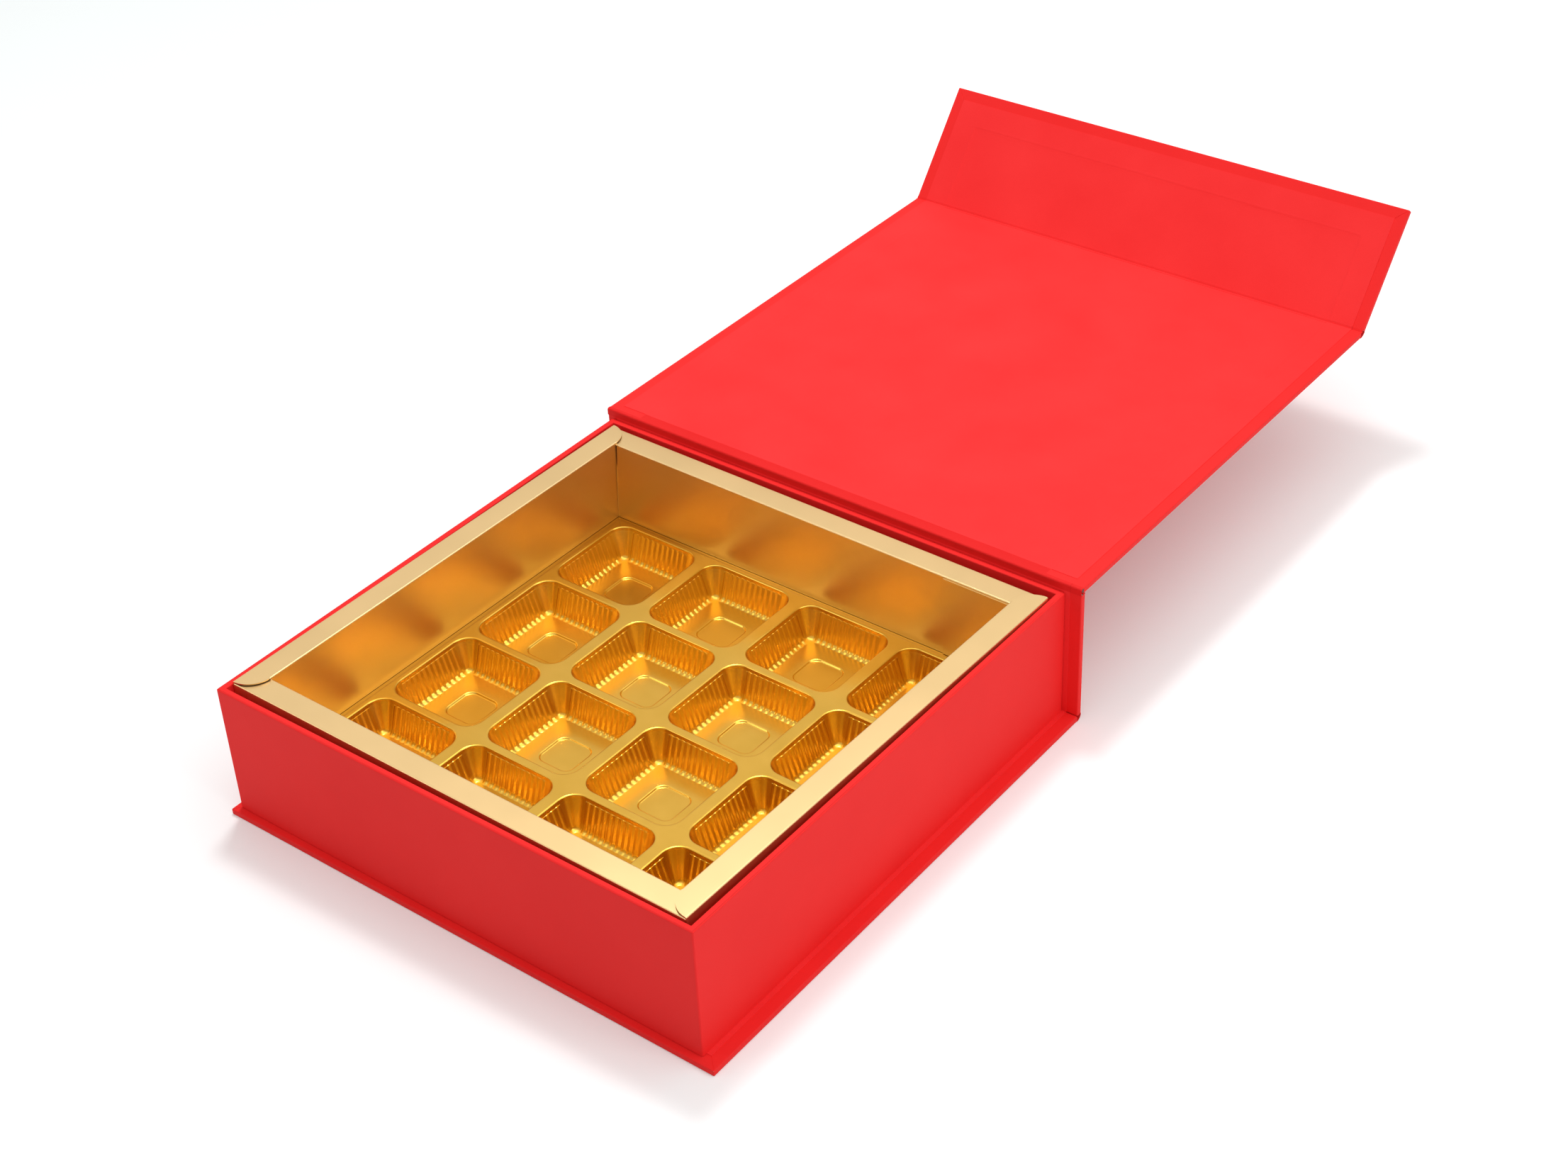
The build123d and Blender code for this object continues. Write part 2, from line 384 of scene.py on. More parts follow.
def split(x, y, z, normal):
    """Cuts all that is in hand along a plane, keeping both sides."""
    bpy.ops.mesh.select_all(action="SELECT")
    bpy.ops.mesh.bisect(plane_co=(x, y, z), plane_no=normal)


def sink(low, high):
    """Lowers the sheet between two places, with a narrow slope all round."""
    for edge, way in ((low, -1), (high, 1)):
        for extra in (0, way * step_width):
            split(edge.x + extra, 0, 0, (1, 0, 0))
            split(0, edge.y + extra, 0, (0, 1, 0))
    near = step_width / 4

    def inside(corner):
        spot = corner.co
        return low.x - near < spot.x < high.x + near and low.y - near < spot.y < high.y + near

    select("VERT", inside)
    bpy.ops.transform.translate(value=(0, 0, -strip_step))


def wave(name, size, depth):
    """Lets a sheet lie a little uneven, up and down by half this depth."""
    pattern = bpy.data.textures.new(name, "CLOUDS")
    pattern.noise_scale = size
    modifier("DISPLACE", {
        "texture": pattern, "texture_coords": "GLOBAL", "direction": "Z", "strength": depth,
    })


lid_low, lid_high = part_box("lid_wrap")
wrap_board(lid_low, lid_high, (0, 0, 1), [(0, 1, 0), (0, -1, 0)])
thicken(paper)
lid_cover = name_piece("lid_cover", wrap_paper)
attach(lid_cover, "lid")
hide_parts("lid_wrap")

liner_low, liner_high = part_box("lid_liner")
strip_end = lid_high.x - turn_in
flat_sheet(liner_low, liner_high)
sink(Vector((-strip_end, lid_low.y - cell, 0)), Vector((strip_end, lid_high.y + cell, 0)))
wave("lid_wave", lid_wave, lid_wave_depth)
thicken(paper)
lid_sheet = name_piece("lid_liner_sheet", liner_paper)
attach(lid_sheet, "lid")
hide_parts("lid_liner")

# Closing flap
# The fourth board, wrapped like the lid, with mitred far corners, and lined inside. It is shaped in
# line with the lid and then swung up on its crease.
flap_wave = 38 * mm
flap_wave_depth = 0.30 * mm

flap_joint = next(joint for joint in frame["joints"] if joint["name"] == "flap_hinge")
flap_pivot = Vector(flap_joint["pos_m"])
flap_angle = -radians(flap_joint["range_deg"][0])
crease_half = flap_pivot.y - lid_high.y
wrap_thickness = lid_high.z - lid_low.z
flap_box_low, flap_box_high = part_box("flap_wrap")
flap_rise = flap_box_high.z - flap_box_low.z - wrap_thickness * cos(flap_angle)
flap_length = flap_rise / sin(flap_angle)
flap_low = Vector((lid_low.x, flap_pivot.y + crease_half, lid_low.z))
flap_high = Vector((lid_high.x, flap_low.y + flap_length, lid_high.z))
liner_inset = lid_high.x - liner_high.x


def swing_up():
    """Turns the whole piece in hand about the flap's crease, from flat to its place."""
    bpy.ops.object.mode_set(mode="OBJECT")
    turn = Matrix.Rotation(flap_angle, 4, "X")
    bpy.context.object.data.transform(
        Matrix.Translation(flap_pivot) @ turn @ Matrix.Translation(-flap_pivot)
    )


wrap_board(flap_low, flap_high, (0, 0, 1), [(0, -1, 0)])
cut_mitre()
thicken(paper)
swing_up()
flap_cover = name_piece("flap_cover", wrap_paper)
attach(flap_cover, "flap")
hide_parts("flap_wrap")

sheet_low = Vector((liner_low.x, flap_low.y, liner_high.z))
sheet_high = Vector((liner_high.x, flap_high.y - liner_inset, liner_high.z))
flat_sheet(sheet_low, sheet_high)
sink(Vector((-strip_end, flap_low.y - cell, 0)), Vector((strip_end, flap_high.y - turn_in, 0)))
wave("flap_wave", flap_wave, flap_wave_depth)
thicken(paper)
swing_up()
flap_sheet = name_piece("flap_liner_sheet", liner_paper)
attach(flap_sheet, "flap")
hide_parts("flap_liner")

# Magnets and strike plates
# Two nickel-plated disc magnets in round pockets of the flap's board, under its liner, and two steel
# discs opposite them in the tray's front wall. They hold the closed flap and are hidden.
plating_clouds = 2 * mm
steel_lines = 1.5 * mm
steel_stretch = (8, 1, 1)

nickel = Finish("nickel_plating", {"Metallic": 1.0, "Base Color": (0.62, 0.59, 0.54, 1)})
nickel.coat({"Roughness": 0.22 + 0.12 * nickel.clouds(plating_clouds)})
dress(["flap_magnets"], nickel.material)
plate_steel = Finish("plate_steel", {"Metallic": 1.0, "Base Color": (0.45, 0.45, 0.46, 1)})
plate_steel.coat({"Roughness": 0.35 + 0.15 * plate_steel.clouds(steel_lines, 3, steel_stretch)})
dress(["strike_plates"], plate_steel.material)

# Lid hinge, outer paper
# The wrap's free stretch between spine and lid, with no board behind it. While the lid lies open it
# goes over the spine's top edge and folds back under the lid.
hinge_steps = 24
roll_steps = 12
end_steps = 2

tray_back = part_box("tray_wrap")[1].y
spine_top = spine_high.z
crease_start = Vector((0, spine_high.y, spine_top))
crease_end = Vector((0, lid_low.y, lid_low.z))
crease_level = crease_start.z + paper
crease_round = (crease_end.z - crease_start.z - paper) / 2


def run(steps, y, z):
    """Draws the edge in hand out straight, to a place in Y and Z, in so many steps."""
    mesh = bmesh.from_edit_mesh(bpy.context.object.data)
    now = next(corner.co.copy() for corner in mesh.verts if corner.select)
    step = (Vector((now.x, y, z)) - now) / steps
    for _ in range(steps):
        bpy.ops.mesh.extrude_region_move(TRANSFORM_OT_translate={"value": step})


line_along_x(lid_high.x, crease_start.y, crease_start.z)
run(end_steps, crease_start.y, crease_level)
run(hinge_steps, crease_end.y, crease_level)
roll(roll_steps, -pi, crease_end.y, crease_level + crease_round)
face_out((0, 1, 0))
thicken(paper)
lid_crease = name_piece("lid_hinge_outer_paper", wrap_paper)
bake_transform(lid_crease)
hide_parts("lid_hinge_wrap")

# Lid hinge, inner papers
# A strip of red paper that climbs from the spine, rolls over the lid's near edge and is glued
# on the lid, where it ends under the liner. Left and right of it the wrap's turned-in strips roll over
# the same edge. All of them are painted a darker red than the wrap, as painted shade along the hinge.
roll_round = 0.7 * mm
tuck_gap = 0.05 * mm
hidden_end = 2 * mm
# Painted shade: the hinge papers' darker red stands in for the shade at the lid's hinge.
hinge_shade_dark = (0.72, 0.009, 0.009, 1)
hinge_shade_light = (0.82, 0.016, 0.015, 1)

hinge_painted_shade_paper = red_paper("red_hinge_paper_painted_shade", hinge_shade_dark, hinge_shade_light)
inner_start = Vector((0, tray_back, spine_top))
inner_end = Vector((0, lid_low.y, lid_high.z))
strip_half = liner_inset / 2 - tuck_gap
strip_middle = (lid_high.x + liner_high.x) / 2


def inner_hinge_paper(half):
    """The paper up the spine and over the lid's near edge, so wide to each side of the middle."""
    line_along_x(half, inner_start.y, inner_start.z)
    run(end_steps, inner_start.y, inner_end.z - roll_round)
    roll(hinge_steps, -pi / 2, tray_back + roll_round, inner_end.z - roll_round)
    run(end_steps, inner_end.y, inner_end.z)
    face_out((0, -1, 0))


inner_hinge_paper(liner_high.x)
thicken(paper)
lid_roll = name_piece("lid_hinge_inner_paper", hinge_painted_shade_paper)
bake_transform(lid_roll)
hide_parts("lid_hinge_liner")

paper_end = liner_low.y + hidden_end
flat_sheet(Vector((-strip_end, lid_low.y, 0)), Vector((strip_end, paper_end, lid_high.z)))
thicken(paper)
lid_paper = name_piece("lid_hinge_paper_on_lid", hinge_painted_shade_paper)
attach(lid_paper, "lid")

for side, name in ((-1, "left"), (1, "right")):
    inner_hinge_paper(strip_half)
    bpy.ops.transform.translate(value=(side * strip_middle, 0, 0))
    thicken(paper)
    lid_strip = name_piece(f"lid_hinge_turned_in_paper_{name}", hinge_painted_shade_paper)
    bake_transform(lid_strip)

# Flap crease papers
# Between lid and flap the wrap bends round outside, and inside the liner is pressed down between the
# two boards, which leaves a sharp dark valley. The wrap's turned-in strips lie beside the liner.
valley_depth = 0.55 * mm
valley_round = 0.18 * mm
bend_steps = 12
weld_gap = 0.01 * mm

outer_end = Vector((0, flap_pivot.y - crease_half, lid_low.z))
bend_centre = Vector((0, outer_end.y, flap_pivot.z + crease_half / tan(flap_angle / 2)))


def on_flap(place):
    """Where a place on the flat flap lies once the flap is swung up."""
    return flap_pivot + Matrix.Rotation(flap_angle, 3, "X") @ (Vector(place) - flap_pivot)


line_along_x(lid_high.x, outer_end.y, outer_end.z)
roll(bend_steps, flap_angle, bend_centre.y, bend_centre.z)
face_out((0, 0, -1))
thicken(paper)
flap_crease = name_piece("flap_hinge_outer_paper", wrap_paper)
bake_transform(flap_crease)
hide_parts("flap_hinge_wrap")

into_crease = Vector((0, sin(flap_angle / 2), -cos(flap_angle / 2)))
lid_lip = Vector((0, outer_end.y, liner_high.z))
flap_lip = on_flap((0, flap_low.y, liner_high.z))
valley = (lid_lip + flap_lip) / 2 + into_crease * valley_depth


def valley_paper(half, lower):
    """The inner paper from the lid down into the crease and up on to the flap."""
    drop = Vector((0, 0, -lower))
    near, low, far = lid_lip + drop, valley + drop, on_flap((0, flap_low.y, liner_high.z - lower))
    line_along_x(half, near.y, near.z)
    run(bend_steps, low.y, low.z)
    run(bend_steps, far.y, far.z)
    bpy.ops.mesh.select_all(action="SELECT")
    bpy.ops.mesh.remove_doubles(threshold=weld_gap)
    select("EDGE", lambda edge: (middle(edge) - low).yz.length < tuck_gap)
    bpy.ops.mesh.bevel(offset=valley_round, segments=edge_steps, affect="EDGES")
    face_out(-into_crease)


valley_paper(liner_high.x, 0)
thicken(paper)
flap_valley = name_piece("flap_hinge_inner_paper", liner_paper)
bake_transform(flap_valley)
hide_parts("flap_hinge_liner")

for side, name in ((-1, "left"), (1, "right")):
    valley_paper(strip_half, paper)
    bpy.ops.mesh.select_all(action="SELECT")
    bpy.ops.transform.translate(value=(side * strip_middle, 0, 0))
    thicken(paper)
    flap_strip = name_piece(f"flap_hinge_turned_in_paper_{name}", wrap_paper)
    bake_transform(flap_strip)

# Tray corner stays
# Strips of thin kraft tape, folded round the four corners where the tray's boards meet, before the
# wrap goes on.
stay = 0.1 * mm
stay_leg = 20 * mm
stay_round = 0.35 * mm
kraft_fibre_size = 0.8 * mm
kraft_stretch = (1, 1, 5)
kraft_dark = (0.38, 0.24, 0.12, 1)
kraft_light = (0.56, 0.38, 0.21, 1)
wall_slope = 0.1

kraft = Finish("kraft_tape", {"Specular IOR Level": 0.3})
kraft_fibres = kraft.clouds(kraft_fibre_size, 3, kraft_stretch)
kraft.coat({
    "Base Color": kraft.blend(kraft_fibres, kraft_dark, kraft_light),
    "Roughness": 0.7 + 0.15 * kraft_fibres,
})


def is_wall(face):
    return abs(face.normal.z) < wall_slope


def height_of(edge):
    return abs(edge.verts[0].co.z - edge.verts[1].co.z)


stays_low, stays_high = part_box("tray_corner_stays")
box_between(stays_low, stays_high)
select("FACE", lambda face: not is_wall(face))
bpy.ops.mesh.delete(type="FACE")
select("EDGE", lambda edge: height_of(edge) > stay_leg / 2)
bpy.ops.mesh.bevel(offset=stay_round, segments=edge_steps, affect="EDGES")
for cut in (stays_low.x + stay_leg, stays_high.x - stay_leg):
    split(cut, 0, 0, (1, 0, 0))
for cut in (stays_low.y + stay_leg, stays_high.y - stay_leg):
    split(0, cut, 0, (0, 1, 0))


def mid_wall(face):
    """Whether a face lies between two stays, where the tape leaves the wall bare."""
    spot = middle(face)
    between_x = stays_low.x + stay_leg < spot.x < stays_high.x - stay_leg
    between_y = stays_low.y + stay_leg < spot.y < stays_high.y - stay_leg
    return between_x or between_y


select("FACE", mid_wall)
bpy.ops.mesh.delete(type="FACE")
thicken(stay)
corner_stays = name_piece("corner_stays", kraft.material)
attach(corner_stays, "box")
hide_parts("tray_corner_stays")

# Tray cover
# One red sheet round the tray's four walls: turned under the floor, up the outside, over the top
# edges, which it leaves softly rounded, and 20 mm down inside.
wall_round = 0.42 * mm
lip_round = 0.38 * mm
upright_round = 0.6 * mm
turn_down = 20 * mm
turn_under = 12 * mm

tray_low, tray_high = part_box("tray_wrap")
tray_middle = (tray_low + tray_high) / 2
tray_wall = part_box("tray_floor_board")[0].x - tray_low.x + paper


def outer_upright(edge):
    return height_of(edge) > tray_wall and abs(edge.verts[0].co.y) > tray_high.y - tuck_gap


def top_edge(edge, side):
    """Whether an edge runs along the wall's top, on its outer (1) or inner (-1) side."""
    walls = [face for face in edge.link_faces if is_wall(face)]
    if len(walls) != 1 or len(edge.link_faces) != 2 or middle(edge).z < tray_high.z - tuck_gap:
        return False
    return side * walls[0].normal.dot(middle(edge) - tray_middle) > 0


box_between(tray_low, tray_high)
select("FACE", lambda face: facing(face, (0, 0, 1)))
bpy.ops.mesh.inset(thickness=tray_wall)
bpy.ops.mesh.extrude_region_move(TRANSFORM_OT_translate={"value": (0, 0, -turn_down)})
bpy.ops.mesh.delete(type="FACE")
select("FACE", lambda face: facing(face, (0, 0, -1)))
bpy.ops.mesh.inset(thickness=turn_under)
bpy.ops.mesh.delete(type="FACE")
select("EDGE", outer_upright)
bpy.ops.mesh.bevel(offset=upright_round, segments=edge_steps, affect="EDGES")
for side, softness in ((1, wall_round), (-1, lip_round)):
    select("EDGE", lambda edge: top_edge(edge, side))
    bpy.ops.mesh.bevel(offset=softness, segments=edge_steps, affect="EDGES")
thicken(paper)
tray_cover = name_piece("tray_cover", wrap_paper)
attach(tray_cover, "box")
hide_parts("tray_wrap")

# Collar
# One sheet of card faced with brushed gold foil, folded into an outer wall, a 9 mm rim and an inner
# wall round all four sides. The left and right rims end in rounded lobes that lie over the front and
# back rims. The cut edges show the card's white core.
card = 0.4 * mm
rim_width = 9 * mm
fold_round = 0.45 * mm
lobe_steps = 24
lobe_gap = 0.4 * mm
corner_gap = 0.35 * mm
wall_lean = 2.0 * mm
foot_overlap = 0.1 * mm
insert_side_gap = 1.2 * mm
insert_end_gap = 2.6 * mm
insert_turn = radians(-0.6)
insert_middle = Vector((-2.0, -0.9, 0)) * mm
wall_wave = 26 * mm
wall_wave_depth = 0.08 * mm
wave_cuts = 44
wall_cuts = 7
long_edge = 100 * mm
wall_edge = 10 * mm
flat_under_rim = 2 * mm

brushing_size = 0.16 * mm
brushing_stretch = (1, 40, 40)
brushing_depth = 0.004 * mm
haze_size = 22 * mm
foil_grain_size = 0.3 * mm
foil_dark = (0.71, 0.50, 0.235, 1)
foil_light = (0.77, 0.54, 0.26, 1)
core_fibre_size = 0.5 * mm
core_grain_size = 0.2 * mm
core_dark = (0.80, 0.74, 0.62, 1)
core_light = (0.90, 0.86, 0.76, 1)

side_low, side_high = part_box("insert_left_panel")
deck_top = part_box("insert_glue_tab")[0].z
wall_foot = deck_top - foot_overlap
collar_foot = side_low.z
rim_top = side_high.z + lobe_gap / 2
under_rim_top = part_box("insert_front_panel")[1].z - lobe_gap / 2
collar_half_x = tray_high.x - tray_middle.x - tray_wall - insert_side_gap
collar_half_y = tray_high.y - tray_wall - insert_end_gap
opening_half_x = collar_half_x - rim_width
opening_half_y = collar_half_y - rim_width

foil = Finish("gold_foil_card", {"Metallic": 1.0})
brushing = foil.clouds(brushing_size, 3, brushing_stretch)
haze = foil.clouds(haze_size)
foil_grain = foil.clouds(foil_grain_size)
foil.coat({
    "Base Color": foil.blend(haze, foil_dark, foil_light),
    "Roughness": 0.31 + 0.05 * haze + 0.06 * foil_grain,
    "Normal": foil.relief(0.7 * brushing + 0.3 * foil_grain, brushing_depth),
})
core = Finish("white_card_core", {"Specular IOR Level": 0.3})
core.coat({
    "Base Color": core.blend(core.clouds(core_fibre_size), core_dark, core_light),
    "Roughness": 0.7 + 0.1 * core.clouds(core_grain_size),
})
card_faces = (foil.material, core.material)


def flat_piece(x, y, z):
    """Adds a flat rectangle between two places along X and Y, in edit mode."""
    bpy.ops.object.select_all(action="DESELECT")
    bpy.ops.mesh.primitive_plane_add(size=1, location=((x[0] + x[1]) / 2, (y[0] + y[1]) / 2, z))
    bpy.ops.transform.resize(value=(x[1] - x[0], y[1] - y[0], 1))
    bpy.ops.object.transform_apply(location=True, rotation=True, scale=True)
    bpy.ops.object.mode_set(mode="EDIT")


def lies(value, place):
    return abs(value - place) < tuck_gap


def drop_edges(test, depth):
    """Draws the chosen edges straight down."""
    select("EDGE", test)
    bpy.ops.mesh.extrude_region_move(TRANSFORM_OT_translate={"value": (0, 0, -depth)})


def lean_out(foot, side):
    """Moves one lower corner of an inner wall outwards, left (-1) or right (1)."""
    select("VERT", lambda corner: (corner.co - foot).length < tuck_gap)
    bpy.ops.transform.translate(value=(side * wall_lean, 0, 0))


def fold_edges(test):
    """Rounds the chosen edges as folds of the card."""
    select("EDGE", test)
    bpy.ops.mesh.bevel(offset=fold_round, segments=edge_steps, affect="EDGES")


def face_up():
    """Turns the sheet over if its rim looks down."""
    bpy.ops.mesh.select_all(action="SELECT")
    bpy.ops.mesh.normals_make_consistent(inside=False)
    faces = bmesh.from_edit_mesh(bpy.context.object.data).faces
    if max(faces, key=lambda face: middle(face).z).normal.z < 0:
        bpy.ops.mesh.select_all(action="SELECT")
        bpy.ops.mesh.flip_normals()


def end_side(side):
    """The front (-1) or back (1) side of the collar."""
    edge_y, fold_y = side * collar_half_y, side * opening_half_y
    flat_piece((card - collar_half_x, collar_half_x - card), sorted((edge_y, fold_y)), under_rim_top)
    for end in (-1, 1):
        split(end * (opening_half_x - corner_gap), 0, 0, (1, 0, 0))

    def outer(edge):
        return all(lies(corner.co.y, edge_y) for corner in edge.verts)

    def inner(edge):
        return all(lies(corner.co.y, fold_y) for corner in edge.verts) and lies(middle(edge).x, 0)

    drop_edges(outer, under_rim_top - collar_foot)
    drop_edges(inner, under_rim_top - wall_foot)
    for end in (-1, 1):
        lean_out(Vector((end * (opening_half_x - corner_gap), fold_y, wall_foot)), end)
    fold_edges(lambda edge: lies(middle(edge).z, under_rim_top) and (outer(edge) or inner(edge)))
    face_up()


def lobed_side(side):
    """The left (-1) or right (1) side of the collar, its rim's ends rounded over the others."""
    edge_x, fold_x = side * collar_half_x, side * opening_half_x
    flat_piece(sorted((edge_x, fold_x)), (-opening_half_y, opening_half_y), rim_top)
    for end in (-1, 1):
        inner_corner = Vector((fold_x, end * opening_half_y, rim_top))
        select("VERT", lambda corner: (corner.co - inner_corner).length < tuck_gap)
        bpy.ops.mesh.spin(
            steps=lobe_steps, angle=side * end * pi / 2, axis=(0, 0, 1),
            center=(edge_x, end * opening_half_y, rim_top),
        )
    for end in (-1, 1):
        select("EDGE", lambda edge: end * middle(edge).y > opening_half_y - tuck_gap)
        bpy.ops.mesh.edge_face_add()

    def outer(edge):
        return all(lies(corner.co.x, edge_x) for corner in edge.verts)

    def inner(edge):
        return all(lies(corner.co.x, fold_x) for corner in edge.verts)

    drop_edges(outer, rim_top - collar_foot)
    drop_edges(inner, rim_top - wall_foot)
    for end in (-1, 1):
        lean_out(Vector((fold_x, end * opening_half_y, wall_foot)), side)
    fold_edges(lambda edge: lies(middle(edge).z, rim_top) and (outer(edge) or inner(edge)))
    face_up()


def ripple_walls(name, along):
    """Divides the walls finely and lets them lie a little uneven, as thin card does."""
    def runs_along(edge):
        return abs((edge.verts[1].co - edge.verts[0].co)[along]) > long_edge

    select("EDGE", runs_along)
    bpy.ops.mesh.subdivide(number_cuts=wave_cuts)
    select("EDGE", lambda edge: height_of(edge) > wall_edge)
    bpy.ops.mesh.subdivide(number_cuts=wall_cuts)
    bpy.ops.object.mode_set(mode="OBJECT")
    walls = bpy.context.object.vertex_groups.new(name="walls")
    corners = bpy.context.object.data.vertices
    low = under_rim_top - flat_under_rim
    walls.add([corner.index for corner in corners if corner.co.z < low], 1.0, "REPLACE")
    pattern = bpy.data.textures.new(name, "CLOUDS")
    pattern.noise_scale = wall_wave
    modifier("DISPLACE", {
        "texture": pattern, "texture_coords": "GLOBAL", "strength": wall_wave_depth,
        "vertex_group": "walls",
    })
    bpy.context.object.vertex_groups.clear()


def thicken_card():
    """Gives the card its thickness, with its core's finish on the cut edges."""
    modifier("SOLIDIFY", {
        "thickness": card, "offset": -1, "use_even_offset": True, "material_offset_rim": 1,
    })


def stand_in_tray(name, materials, node):
    """Turns a finished piece of the insert to its place in the tray and names it."""
    bpy.ops.object.mode_set(mode="OBJECT")
    where = Matrix.Translation(insert_middle) @ Matrix.Rotation(insert_turn, 4, "Z")
    bpy.context.object.data.transform(where)
    piece = name_piece(name, materials[0])
    for material in materials[1:]:
        piece.data.materials.append(material)
    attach(piece, "box")
    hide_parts(node)


for make_side, side, name, along in (
    (end_side, -1, "front", 0), (end_side, 1, "back", 0),
    (lobed_side, -1, "left", 1), (lobed_side, 1, "right", 1),
):
    make_side(side)
    ripple_walls(f"{name}_wave", along)
    thicken_card()
    stand_in_tray(f"collar_{name}", card_faces, f"insert_{name}_panel")

# Collar joint
# The card's own overlap, 27 mm wide, where the folded strip is glued to itself inside the back wall.
# Its cut edge shows there as an upright seam, left of the right corner.
tab_width = 27 * mm
tab_round = 0.1 * mm
tab_steps = 2

tab_right = opening_half_x - card
tab_top = under_rim_top - card - fold_round
tab_corner = (tab_right - tab_width, opening_half_y - card, deck_top)
box_between(tab_corner, (tab_right, opening_half_y, tab_top))
select("EDGE", lambda edge: lies(middle(edge).x, tab_right - tab_width))
bpy.ops.mesh.bevel(offset=tab_round, segments=tab_steps, affect="EDGES")
stand_in_tray("collar_joint", card_faces, "insert_glue_tab")

# Cavity tray
# One sheet of gold-metallised plastic, half a millimetre thick, drawn down over a mould: a flat deck
# with sixteen fluted square cups and a skirt on which it stands. The floor of each cup has a sunk pad
# in the middle.
sheet = 0.5 * mm
cups = 4
pitch_x = 44.067 * mm
pitch_y = 42.2 * mm
cup_half = 19.4 * mm
cup_corner = 6.2 * mm
corner_steps = 8
lip_reach = 0.85 * mm
tile_edge = 0.2 * mm
tile_half = cup_half + lip_reach + tile_edge
deck_corner = 0.8 * mm
deck_side_gap = 0.2 * mm
deck_end_gap = 1.8 * mm
deck_half_x = opening_half_x - deck_side_gap
deck_half_y = opening_half_y - deck_end_gap
pad_half = 7.8 * mm
pad_corner = 3.9 * mm
ribs = 11
rib_columns = 6
rib_depth = 0.32 * mm
straight_half = cup_half - cup_corner
rib_pitch = 2 * straight_half / ribs
clear_drop = 4 * mm

# Each row of a slope in millimetres: how far in and how far down it goes from the row before. Narrow
# flat rows part the bends of cups and pads from the wide flats. The shares say how far the ribs stand
# out at each fluted row. The last two rows end at one level, on the cup's floor, and have no ribs.
lip_rows = [(0.3, 0), (0.21, 0.04), (0.18, 0.12), (0.12, 0.21), (0.04, 0.25)]
fluted_rows = [
    (0.25, 0.95), (0.12, 0.1), (2.85, 8.75), (0.25, 0.6), (0.3, 0.42),
    (0.42, 0.32), (0.5, 0.18), (0.4, 0.06), (0.3, 0),
]
rib_shares = [0, 1.15, 0.95, 1.3, 1.2, 0.9, 0.6, 0, 0]
pad_rows = [(0.3, 0), (0.22, 0.12), (0.16, 0.36), (0.22, 0.12), (0.25, 0)]
skirt_rows = [(-0.3, 0.04), (-0.2, 0.14), (-0.2, 0.04), (-2.25, 0), (-0.25, 0.15)]
under_cup_rows = [(3.3, 11.2), (1.2, 1.3)]
under_skirt_rows = [(-0.4, 0.2), (-2.3, 0)]

soft_spot_size = 9 * mm
fine_size = 0.8 * mm
sheen_depth = 0.025 * mm
sheen_dark = (0.73, 0.415, 0.046, 1)
sheen_light = (0.79, 0.46, 0.07, 1)

sheen = Finish("gold_sheet", {"Metallic": 1.0, "Coat Weight": 0.25, "Coat Roughness": 0.12})
soft_spots = sheen.clouds(soft_spot_size)
fine = sheen.clouds(fine_size)
sheen.coat({
    "Base Color": sheen.blend(soft_spots, sheen_dark, sheen_light),
    "Roughness": 0.22 + 0.05 * soft_spots,
    "Normal": sheen.relief(0.7 * soft_spots + 0.3 * fine, sheen_depth),
})


def begin_sheet():
    """Opens an empty mesh in edit mode."""
    bpy.ops.object.select_all(action="DESELECT")
    bpy.ops.mesh.primitive_plane_add(size=1, enter_editmode=True)
    bpy.ops.mesh.delete(type="VERT")


def outline(half_x, half_y, corner_round, z):
    """Draws a rectangle's outline with rounded corners, in edit mode."""
    bpy.ops.mesh.select_all(action="DESELECT")
    bpy.ops.mesh.primitive_plane_add(size=2)
    bpy.ops.transform.resize(value=(half_x, half_y, 1))
    bpy.ops.transform.translate(value=(0, 0, z))
    bpy.ops.mesh.bevel(offset=corner_round, segments=corner_steps, affect="VERTICES")
    bpy.ops.mesh.delete(type="ONLY_FACE")
    select("EDGE", lambda edge: not edge.link_faces)


def draw_rows(rows, z):
    """Draws the open edge in hand on, row by row, and returns the level it ends at.

    A row goes straight down first, so that its corners' normals are level while it moves inwards.
    """
    for inwards, down in rows:
        bpy.ops.mesh.extrude_region_move(TRANSFORM_OT_translate={"value": (0, 0, -clear_drop)})
        bpy.ops.transform.shrink_fatten(value=-inwards * mm)
        bpy.ops.transform.translate(value=(0, 0, clear_drop - down * mm))
        z -= down * mm
    return z


def fill_level(z):
    """Fills the flat between the open edges at one level."""
    select("EDGE", lambda edge: len(edge.link_faces) < 2 and lies(middle(edge).z, z))
    bpy.ops.mesh.fill(use_beauty=True)


def set_out_cups(deck_z, edge_rows):
    """Repeats the cup four by four, fills the deck round the cups and draws the skirt down."""
    for move in (Vector((pitch_x, 0, 0)), Vector((0, pitch_y, 0))):
        modifier("ARRAY", {
            "use_relative_offset": False, "use_constant_offset": True,
            "constant_offset_displace": move, "count": cups,
        })
    bpy.ops.object.mode_set(mode="EDIT")
    bpy.ops.mesh.select_all(action="SELECT")
    first = (1 - cups) / 2
    bpy.ops.transform.translate(value=(first * pitch_x, first * pitch_y, 0))
    outline(deck_half_x, deck_half_y, deck_corner, deck_z)
    edge_z = draw_rows(edge_rows, deck_z)
    bpy.ops.mesh.extrude_region_move(TRANSFORM_OT_translate={"value": (0, 0, collar_foot - edge_z)})
    fill_level(deck_z)
    bpy.ops.object.mode_set(mode="OBJECT")


def rib_share(spot, level_shares):
    """How far a point of the cup's wall stands out on a rib, as a share of the rib's depth."""
    along = min(abs(spot.x), abs(spot.y))
    if along > straight_half or max(abs(spot.x), abs(spot.y)) < pad_half + rib_depth:
        return 0
    level = min(level_shares, key=lambda z: abs(z - spot.z))
    return level_shares[level] * (0.5 - 0.5 * cos(2 * pi * (along + straight_half) / rib_pitch))


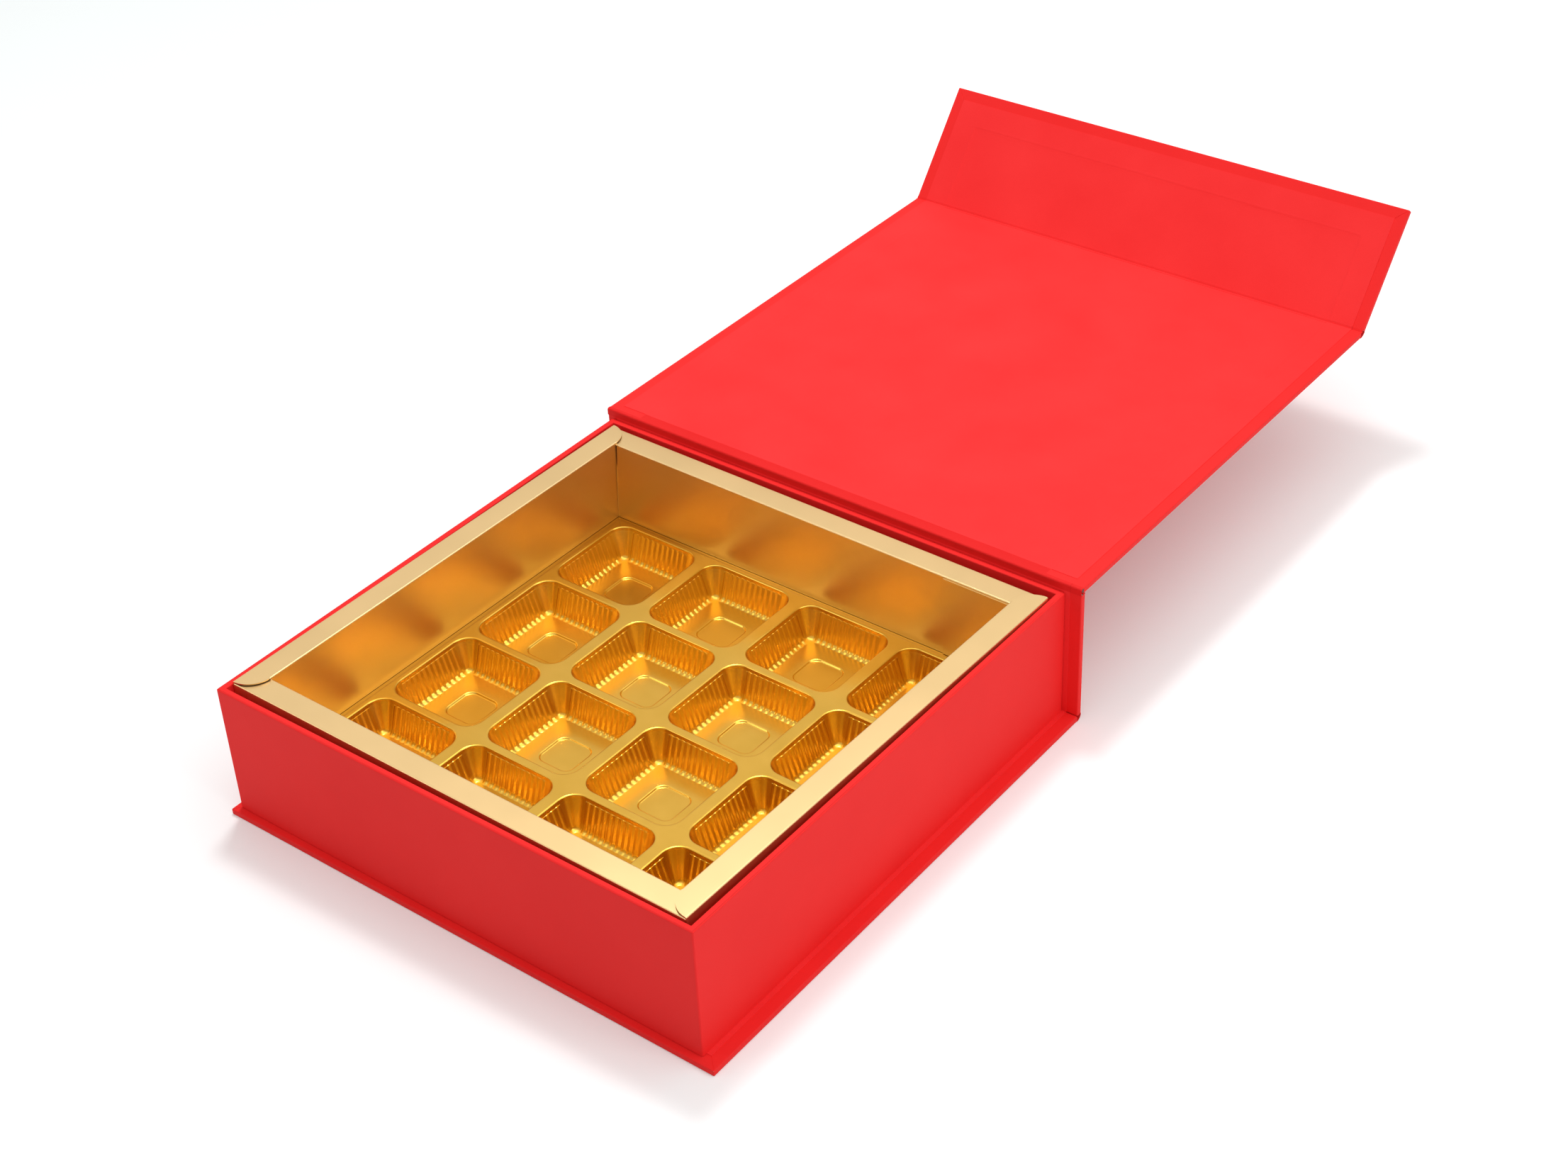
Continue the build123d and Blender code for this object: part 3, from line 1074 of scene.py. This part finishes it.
begin_sheet()
outline(cup_half + lip_reach, cup_half + lip_reach, cup_corner + lip_reach, deck_top)
select("EDGE", lambda edge: edge.calc_length() > cup_half)
bpy.ops.mesh.subdivide(number_cuts=ribs * rib_columns - 1)
bpy.ops.mesh.select_all(action="SELECT")
level = draw_rows(lip_rows, deck_top)
level_shares = {level: 0}
for row, share in zip(fluted_rows, rib_shares):
    level = draw_rows([row], level)
    level_shares[level] = share
cup_floor = level
outline(tile_half, tile_half, cup_corner + tile_half - cup_half, deck_top)
fill_level(deck_top)
outline(pad_half, pad_half, pad_corner, cup_floor)
pad_floor = draw_rows(pad_rows, cup_floor)
fill_level(pad_floor)
fill_level(cup_floor)
bpy.ops.mesh.select_all(action="SELECT")
bpy.ops.mesh.normals_make_consistent(inside=False)
bpy.ops.object.mode_set(mode="OBJECT")
cup = bpy.context.object
flutes = cup.vertex_groups.new(name="flutes")
for corner in cup.data.vertices:
    flutes.add([corner.index], rib_share(corner.co, level_shares), "REPLACE")
modifier("DISPLACE", {"vertex_group": "flutes", "mid_level": 0, "strength": rib_depth})
cup.vertex_groups.clear()
set_out_cups(deck_top, skirt_rows)

begin_sheet()
outline(cup_half + sheet, cup_half + sheet, cup_corner + sheet, deck_top - sheet)
under_floor = draw_rows(under_cup_rows, deck_top - sheet)
fill_level(under_floor)
set_out_cups(deck_top - sheet, under_skirt_rows)
cup.select_set(True)
bpy.ops.object.join()
bpy.ops.object.mode_set(mode="EDIT")
fill_level(collar_foot)
bpy.ops.mesh.select_all(action="SELECT")
bpy.ops.mesh.normals_make_consistent(inside=False)
stand_in_tray("cup_sheet", (sheen.material,), "cavity_tray")

# Studio
# A plain white table in a white room, a wide soft panel overhead, softer ones at the right and the
# front left, and a small bright one high at the back left that the cups mirror. Lights are placed in
# metres and their power is in watts.
table_size = 12
table_white = (0.86, 0.90, 0.90, 1)
table_glow = (0.13, 0.1287, 0.1261, 1)
black = (0, 0, 0, 1)

table_top = Finish("white_table", {
    "Base Color": table_white, "Specular IOR Level": 0.0, "Roughness": 1.0, "Emission Strength": 1.0,
})
seen = table_top.node("LightPath", {}, {}, "Is Camera Ray")
mirrored = table_top.node("LightPath", {}, {}, "Is Glossy Ray")
shown = table_top.node("Math", {"operation": "MAXIMUM"}, {0: seen, 1: mirrored})
table_top.coat({"Emission Color": table_top.blend(shown, black, table_glow)})

bpy.ops.object.select_all(action="DESELECT")
bpy.ops.mesh.primitive_plane_add(size=table_size, location=(0, 0, cad_low.z))
table = bpy.context.object
table.name = table.data.name = "table"
table.data.materials.append(table_top.material)

middle_of_box = Vector((0, 0.1, 0.05))


def soft_light(name, spot, width, power):
    """A square panel of light at a spot, turned to the middle of the box."""
    turn = (middle_of_box - Vector(spot)).to_track_quat("-Z", "Y").to_euler()
    bpy.ops.object.light_add(type="AREA", location=spot, rotation=turn)
    light = bpy.context.object
    light.name = name
    light.data.size = width
    light.data.energy = power


soft_light("overhead_panel", spot=(0.32, 0.18, 1.6), width=1.8, power=14.0)
soft_light("right_panel", spot=(1.5, 0.1, 0.8), width=1.0, power=6.8)
soft_light("front_left_panel", spot=(-0.7, -0.8, 0.5), width=0.4, power=1.2)
soft_light("small_panel", spot=(-0.33, 0.48, 1.55), width=0.24, power=8.5)

room_white = (1, 0.99, 0.98, 1)
room_light = 0.35
mirrored_light = 0.48

room = bpy.data.worlds.new("white_room")
bpy.context.scene.world = room
room.use_nodes = True
air = Nodes(room.node_tree)
seen = air.node("LightPath", {}, {}, "Is Camera Ray")
mirrored = air.node("LightPath", {}, {}, "Is Glossy Ray")
light_share = mirrored * mirrored_light + room_light
strength = air.node("Math", {"operation": "MAXIMUM"}, {0: seen, 1: light_share})
background = room.node_tree.nodes["Background"]
air.feed(background.inputs["Color"], room_white)
air.feed(background.inputs["Strength"], strength)

camera_spot = Vector((451.3, -489.5, 551.1)) * mm
camera_turn = Euler((radians(54.19), radians(2.272), radians(37.196)))
lens_length = 57.62
sensor_width = 36
nearest = 10 * mm

bpy.ops.object.camera_add(location=camera_spot, rotation=camera_turn)
camera = bpy.context.object
camera.name = "camera"
camera.data.lens = lens_length
camera.data.sensor_width = sensor_width
camera.data.clip_start = nearest
bpy.context.scene.camera = camera
bpy.context.scene.view_settings.view_transform = "Standard"
